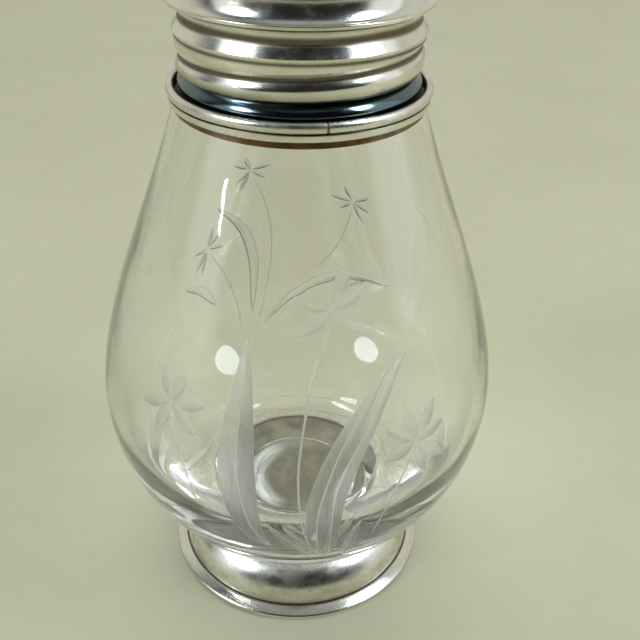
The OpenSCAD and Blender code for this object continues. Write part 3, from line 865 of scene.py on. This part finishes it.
print("neck pieces:", collar.name, rim_wire.name, neck_fill.name)

# %% [markdown]
# ## The screw thread
# The lid's skirt is thin sheet rolled into a coarse screw: the same thread shows outside as round beads
# and inside as the thread that runs on the sleeve. One rule, depth by height and turn, shapes the skirt
# and the sleeve, so a small geometry tree presses that rule into both.

# %% Thread rule
PITCH_MM, THREAD_DEPTH, FRONT_H, THREAD_COLUMNS = 4.7, 0.7, 3.7, 240


def new_tree(name, kinds):
    """A geometry tree that takes a mesh, some named values and a finish."""
    tree = bpy.data.node_groups.new(name, "GeometryNodeTree")
    for label, kind in {"Geometry": "Geometry", **kinds, "Finish": "Material"}.items():
        tree.interface.new_socket(label, in_out="INPUT", socket_type="NodeSocket" + kind)
    tree.interface.new_socket("Geometry", in_out="OUTPUT", socket_type="NodeSocketGeometry")
    g = Graph(tree)
    given = g.add("NodeGroupInput", out=None)
    return g, {s.name: Value(g, s) for s in given.outputs if s.name}


def ended_tree(g, taken, geometry):
    """Ends a tree with one whole mesh in its finish."""
    whole = g.add("GeometryNodeRealizeInstances", {"Geometry": geometry})
    done = g.add("GeometryNodeSetMaterial", {"Geometry": whole, "Material": taken["Finish"]})
    g.feed(g.add("NodeGroupOutput", out=None).inputs["Geometry"], done)
    return g.tree


def thread_tree():
    """Presses the thread in, and keeps a mask of its groove, which the silver darkens as tarnish and
    painted shade.
    """
    g, taken = new_tree("press_thread", {"Pitch": "Float", "Depth": "Float", "Front height": "Float"})
    x, y, z = g.split(g.add("GeometryNodeInputPosition"))
    turn = (z - taken["Front height"]) / taken["Pitch"] - (y.math("ARCTAN2", x) / (2 * math.pi) + 0.25)
    wave = ((turn * (2 * math.pi)).math("COSINE") + 1.0) * 0.5
    threaded = g.add("GeometryNodeInputNamedAttribute", {"Name": "threaded"})
    groove = wave * wave * threaded
    push = taken["Depth"] * groove / (x * x + y * y) ** 0.5 * -1.0
    offset = g.add("ShaderNodeCombineXYZ", {"X": x * push, "Y": y * push})
    moved = g.add("GeometryNodeSetPosition", {"Geometry": taken["Geometry"], "Offset": offset})
    mask = {"Geometry": moved, "Name": "groove", "Value": groove}
    dark = g.add("GeometryNodeStoreNamedAttribute", mask, data_type="FLOAT", domain="POINT")
    return ended_tree(g, taken, dark)


def grown(piece, tree, values):
    """Runs a geometry tree on a piece, keeps the mesh that it makes and takes the modifier away."""
    modifier = piece.modifiers.new(tree.name, "NODES")
    modifier.node_group = tree
    for item in tree.interface.items_tree:
        if item.in_out == "INPUT" and item.name in values:
            modifier[item.identifier] = values[item.name]
    ready = piece.evaluated_get(bpy.context.evaluated_depsgraph_get())
    mesh = bpy.data.meshes.new_from_object(ready)
    piece.modifiers.remove(modifier)
    piece.data = mesh
    mesh.shade_smooth()
    mesh.set_sharp_from_angle(angle=math.radians(SHARP_DEGREES))
    return piece


press_thread = thread_tree()
print("thread rule:", PITCH_MM, "mm in one turn,", THREAD_DEPTH, "mm deep")

# %% Sleeve and skirt
LID_IN_R, BEAD_R, SHELF_IN_R, COVE_R = 22.3, 22.9, 19.6, 21.85
SHELF_Z, BLEND_H, ROWS = 127.6, 1.7, 56
ridge_z = SHELF_Z - 0.35


def ease(t):
    """0 up to 0, 1 from 1, and smooth between."""
    u = min(max(t, 0.0), 1.0)
    return u * u * (3 - 2 * u)


def threaded_piece(name, rows, material, body, node, tarnish_and_shade):
    """rows holds [radius, height, share of the thread]; the thread is pressed in by its rule."""
    points, faces = turned_mesh([[r, z] for r, z, _ in rows], THREAD_COLUMNS)
    share = [s for _, _, s in rows for _ in range(THREAD_COLUMNS)]
    dark = [tarnish_and_shade(math.hypot(x, y), z) for x, y, z in points]
    masks = {"threaded": share, "tarnish_and_shade": dark}
    piece = mesh_piece(name, points, faces, [material], body, node, masks)
    values = {"Pitch": PITCH_MM * MM, "Depth": THREAD_DEPTH * MM,
              "Front height": (lid_z + FRONT_H) * MM, "Finish": material}
    return grown(piece, press_thread, values)


sleeve_rows = [[SLEEVE_BORE, neck_top_z, 0], [SLEEVE_BORE, sleeve_z, 0], [SLEEVE_R, sleeve_z, 0]]
for t in np.linspace(0, 1, 24):
    bulge = math.sin(math.pi * t)
    base = SLEEVE_R + (CREST_R - SLEEVE_R) * t
    sleeve_rows.append([base + (shoulder_r - base) * bulge, shoulder_z + SHOULDER_H * t, t * (1 - bulge)])
sleeve_rows += [[CREST_R, z, 1] for z in np.linspace(shoulder_top, neck_top_z, 40)[1:]]
neck_sleeve = threaded_piece(
    "neck_sleeve_turned", sleeve_rows, silver_sleeve, "caster_body", "neck_sleeve",
    # Painted shade at the foot of the shoulder bead and under the lid's edge
    lambda r, z: max(near(z, shoulder_z, 1.2), near(z, shoulder_top + 0.3, 0.9)),
)

skirt_rows = [[BEAD_R - 0.2, lid_z, 1], [BEAD_R - 0.05, lid_z + 0.12, 1]]
for z in np.linspace(lid_z + 0.35, ridge_z, ROWS):
    share = ease((z - ridge_z + BLEND_H) / BLEND_H)
    skirt_rows.append([BEAD_R + (ridge_r - BEAD_R) * share, z, 1 - share])
for t in np.linspace(0, 1, 9)[1:]:
    skirt_rows.append([ridge_r + (COVE_R - ridge_r) * t, ridge_z + (skirt_top_z - ridge_z) * t, 0])
skirt_rows += [[SHELF_IN_R, skirt_top_z, 0], [SHELF_IN_R, SHELF_Z, 0]]
for z in np.linspace(SHELF_Z, lid_z, ROWS):
    skirt_rows.append([LID_IN_R, z, 1 - ease((z - neck_top_z) / (SHELF_Z - neck_top_z))])
lid_skirt = threaded_piece(
    "lid_skirt_rolled", skirt_rows, silver_bright, "lid", "lid_skirt",
    # Painted shade under the ridge and in the notch at the top; darker towards the bottom edge
    lambda r, z: max(near(z, ridge_z - 0.9, 0.8) * 0.8 * (r > LID_IN_R + 0.2), near(z, skirt_top_z, 0.7),
                     near(z, lid_z, 2.2) * 0.75),
)
for piece in (neck_sleeve, lid_skirt):
    print("threaded piece:", piece.name, len(piece.data.polygons), "faces")

# %% [markdown]
# ## The pierced dome and its finial
# The photograph ends below the dome, so the dome, its rings of round holes and the finial follow what
# such casters have. The holes are drilled square to the sheet. A geometry tree sets a drill on every hole
# of the rings and cuts them all.

# %% Dome
LIP_STEP, LIP_H, COVE_H, WAIST_H, DOME_RISE, DOME_SHEET = 2.4, 0.6, 2.8, 3.6, 18.5, 0.8
HOLE_R, HOLE_RINGS, FIRST_HOLES, RING_GAIN, FIRST_ANGLE, RING_ANGLE = 0.95, 5, 8, 4, 24.0, 12.0
PEG_HOLE_R, DRILL_SIDES, DRILL_L = 1.55, 28, 4.0
lip_z = skirt_top_z + COVE_H
base_z, base_r = lip_z + LIP_H + WAIST_H, lip_r - LIP_STEP
cap_r = (base_r**2 + DOME_RISE**2) / (2 * DOME_RISE)
cap_z = dome_top_z - cap_r


def pierce_tree():
    """Drills the rings of holes."""
    kinds = {"Hole radius": "Float", "Dome radius": "Float", "Dome centre": "Vector"}
    g, taken = new_tree("pierce_dome", kinds)
    size = {"Vertices": DRILL_SIDES, "Radius": taken["Hole radius"], "Depth": DRILL_L * MM}
    drill = g.add("GeometryNodeMeshCylinder", size, "Mesh")
    rings = g.add("GeometryNodeJoinGeometry", out=None)
    for ring in range(HOLE_RINGS):
        count = FIRST_HOLES + RING_GAIN * ring
        tilt = math.radians(FIRST_ANGLE + RING_ANGLE * ring)
        size = {"Vertices": count, "Radius": taken["Dome radius"] * math.sin(tilt)}
        circle = g.add("GeometryNodeMeshCircle", size, "Mesh")
        lift = g.add("ShaderNodeCombineXYZ", {"Z": taken["Dome radius"] * math.cos(tilt)})
        placed = {"Geometry": circle, "Translation": lift, "Rotation": (0.0, 0.0, math.pi * ring / count)}
        g.feed(rings.inputs[0], g.add("GeometryNodeTransform", placed))
    place = g.add("GeometryNodeInputPosition")
    outward = g.add("FunctionNodeAlignRotationToVector", {"Vector": place}, axis="Z")
    holes = {"Points": rings.outputs[0], "Instance": drill, "Rotation": outward}
    drills = g.add("GeometryNodeInstanceOnPoints", holes)
    solid = g.add("GeometryNodeRealizeInstances", {"Geometry": drills})
    raised = g.add("GeometryNodeTransform", {"Geometry": solid, "Translation": taken["Dome centre"]})
    meshes = {"Mesh 1": taken["Geometry"], "Mesh 2": raised}
    cut = g.add("GeometryNodeMeshBoolean", meshes, "Mesh", operation="DIFFERENCE", solver="EXACT")
    return ended_tree(g, taken, cut)


edge_angle = math.degrees(math.acos((base_z - cap_z) / cap_r))
inner_r = cap_r - DOME_SHEET
hole_angle = math.degrees(math.asin(PEG_HOLE_R / cap_r))
cove = arc((lip_r, skirt_top_z), COVE_R - lip_r, lip_z - skirt_top_z, count=20)
dome_up = arc((0, cap_z), cap_r, cap_r, 90 - edge_angle, 90 - hole_angle, 40)
dome_down = arc((0, cap_z), inner_r, inner_r, 90 - hole_angle * cap_r / inner_r, 90 - edge_angle, 40)
lip_round, waist_r = LIP_H / 4, base_r + DOME_SHEET / 4
waist = arc((lip_r - lip_round, base_z), waist_r - lip_r + lip_round, -WAIST_H, 90, 0, 20)
moulding = rounded([[lip_r, lip_z], [lip_r, lip_z + LIP_H, lip_round], waist[0]])[:-1] + waist
land_r = base_r - 1.25 * DOME_SHEET
lid_dome = turned(
    "lid_dome_pierced",
    cove + moulding[1:] + dome_up + dome_down + [[land_r, lip_z], [COVE_R - DOME_SHEET, skirt_top_z]],
    silver_bright, "lid", "lid_dome",
    # Painted shade in the cove over the skirt; darker at the waist and round the finial's foot
    lambda r, z: max(near(z, base_z, 0.5), near(z, skirt_top_z + 0.4, 1.4),
                     near(r, 5.0, 0.7) * (z > base_z)),
    columns=128,
)
grown(lid_dome, pierce_tree(), {
    "Hole radius": HOLE_R * MM, "Dome radius": (cap_r - DOME_SHEET / 2) * MM,
    "Dome centre": (0.0, 0.0, cap_z * MM), "Finish": silver_bright,
})
print("dome faces", len(lid_dome.data.polygons))

# %% Finial, nut and seal
BALL_R, STEM_R, PEG_PIN_R, SEAL_W, SEAL_ROUND = 4.2, 2.0, 1.5, 1.8, 0.15
ball_z, foot_h = finial_top_z - BALL_R, (finial_top_z - dome_top_z) / 8
seat = [[r, cap_z + math.sqrt((cap_r + BED) ** 2 - r * r)]
        for r in np.linspace(PEG_PIN_R, finial_foot_r, 6)]
neck_curve = bezier((finial_foot_r - foot_h / 2, dome_top_z + foot_h), (STEM_R, dome_top_z + foot_h),
                    (STEM_R, ball_z - BALL_R), (STEM_R, ball_z - 0.86 * BALL_R), 20)
ball = arc((0, ball_z), BALL_R, BALL_R, -math.degrees(math.acos(STEM_R / BALL_R)), 90, 32)
ball[-1][0] = 0.0
finial = turned(
    "finial_turned",
    [[0, peg_low_z], [PEG_PIN_R, peg_low_z]] + seat
    + rounded([seat[-1], [finial_foot_r, dome_top_z + foot_h / 2, 0.25], neck_curve[0]])[1:]
    + neck_curve[1:-1] + ball,
    silver_bright, "lid", "finial",
    lambda r, z: max(near(z, ball_z - 0.9 * BALL_R, 1.2), near(z, dome_top_z + foot_h, 0.5)),
    columns=96,
)
seal_in_r = seal_r - SEAL_W
seal_corners = (seal_in_r, seal_z), (seal_r, seal_z), (seal_r, seal_top_z), (seal_in_r, seal_top_z)
lid_seal = turned(
    "seal_ring", rounded([[r, z, SEAL_ROUND] for r, z in seal_corners]),
    cork, "seal", "lid_seal", columns=96,
)
nut = plain_node("finial_nut", silver_dull)
print("lid pieces:", finial.name, lid_seal.name, nut.name)

# %% [markdown]
# ## Table and light
# The caster stands on a plain pale table in a dim room with a pale wall behind. Two soft panes, left and
# right, give the bright bands on the silver, and the dark room between them gives its dark middle. Two
# high windows and a narrow slit, which only glass and silver show, give the bright spots on the glass.
# Two side lamps and a wide fill from above light the matt surfaces, and glass and silver don't show them.

# %% Table
TABLE_COLOUR, TABLE_SHADE, TABLE_SIDE = (0.525, 0.525, 0.37), 0.90, 3.0
table = Finish("table_top")
clouds = table.noise(9, 4).rise(0.30, 0.72) * 0.6
flecks = table.noise(110, 4, 0.65).rise(0.3, 0.7) * 0.25
fine = table.noise(420, 3)
shaded = tuple(c * TABLE_SHADE for c in TABLE_COLOUR)
table.set(
    Base_Color=table.blend(clouds + flecks + fine * 0.15, TABLE_COLOUR, shaded),
    Roughness=0.6,
    Normal=table.bump(fine, 0.05, 0.0005),
)
corners = [(x * TABLE_SIDE, y * TABLE_SIDE, 0) for x, y in ((-1, -1), (1, -1), (1, 1), (-1, 1))]
floor_mesh = bpy.data.meshes.new("table_top")
floor_mesh.from_pydata(corners, [], [(0, 1, 2, 3)])
floor_mesh.materials.append(table.material)
floor = new_object("table_top", floor_mesh)
print("table top", 2 * TABLE_SIDE, "m wide")

# %% Light
CASTER = (0, 0, 0.08)
WINDOW_COLOUR, LEFT_COLOUR = (0.82, 0.91, 1.0), (0.96, 0.98, 1.0)
RIGHT_COLOUR, FILL_COLOUR = (0.98, 0.99, 1.0), (1.0, 1.0, 0.98)


def soft_box(name, place, aim, width, height, watts, colour, mirrored=False, lean=0):
    """A soft lamp that lights matt surfaces only, or one that only glass and silver show."""
    data = bpy.data.lights.new(name, "AREA")
    data.shape = "ELLIPSE"
    data.size, data.size_y = width, height
    data.energy, data.color = watts, colour
    lamp = new_object(name, data)
    lamp.location = place
    lamp.rotation_mode = "QUATERNION"
    aimed = (Vector(aim) - Vector(place)).to_track_quat("-Z", "Y")
    lamp.rotation_quaternion = aimed @ Quaternion((0, 0, 1), math.radians(lean))
    lamp.visible_diffuse = not mirrored
    lamp.visible_glossy = lamp.visible_transmission = mirrored
    print("lamp", name, watts, "W")


soft_box("window_left", (-1.397, -0.774, 1.284), CASTER, 0.60, 1.1, 22.0, WINDOW_COLOUR, True, 30)
soft_box("window_right", (1.311, -0.376, 1.543), CASTER, 0.56, 1.35, 24.0, WINDOW_COLOUR, True, -30)
soft_box("lamp_left", (-1.605, -0.900, 0.370), CASTER, 0.20, 0.020, 0.30, WINDOW_COLOUR, True)
soft_box("side_left", (-1.60, -0.92, 0.78), CASTER, 0.56, 0.95, 13.0, LEFT_COLOUR)
soft_box("side_right", (1.68, -0.30, 0.90), CASTER, 0.60, 0.85, 16.0, RIGHT_COLOUR)
soft_box("fill", (0, 0.1, 2.2), (0, 0.1, 0), 3.0, 3.0, 26.0, FILL_COLOUR)

# %% Room
# Each pane: the way to its middle and its half width, in degrees from the front
PANES = {"left": (-68, 15), "right": (82, 19)}
PANE_SOFT, PANE_LIGHT, PANE_TOP, PANE_FADE, PANE_COLOUR = 6, 0.9, 0.75, 0.08, (0.93, 0.98, 1.0)
ROOM_LIGHT, CEILING_LIGHT, GLASS_LIGHT = 0.014, 0.36, 0.10
WALL_LIGHT, WALL_COLOUR = 0.62, (0.97, 0.99, 0.86)

world = bpy.data.worlds.new("room")
scene.world = world
world.use_nodes = True
room = Graph(world.node_tree)
east, north, upward = room.split(room.add("ShaderNodeTexCoord", out="Generated"))
bearing = east.math("ARCTAN2", north * -1.0) / DEGREE
shine = upward.rise(0.86, 0.98) * CEILING_LIGHT + ROOM_LIGHT
wall = north.rise(-0.05, 0.40) * upward.rise(0.98, 0.70)
shine = shine + wall * WALL_LIGHT
shine = shine + room.add("ShaderNodeLightPath", out="Is Transmission Ray") * GLASS_LIGHT
for middle, half in PANES.values():
    off = (bearing - middle).math("ABSOLUTE")
    below_top = upward.rise(PANE_TOP + PANE_FADE, PANE_TOP - PANE_FADE)
    shine = shine + off.rise(half + PANE_SOFT, half - PANE_SOFT) * below_top * PANE_LIGHT
background = world.node_tree.nodes["Background"]
room.feed(background.inputs["Strength"], shine)
room.feed(background.inputs["Color"], room.blend(wall, PANE_COLOUR, WALL_COLOUR))
scene.view_settings.view_transform = "Standard"
print("room with panes at", ", ".join(PANES))
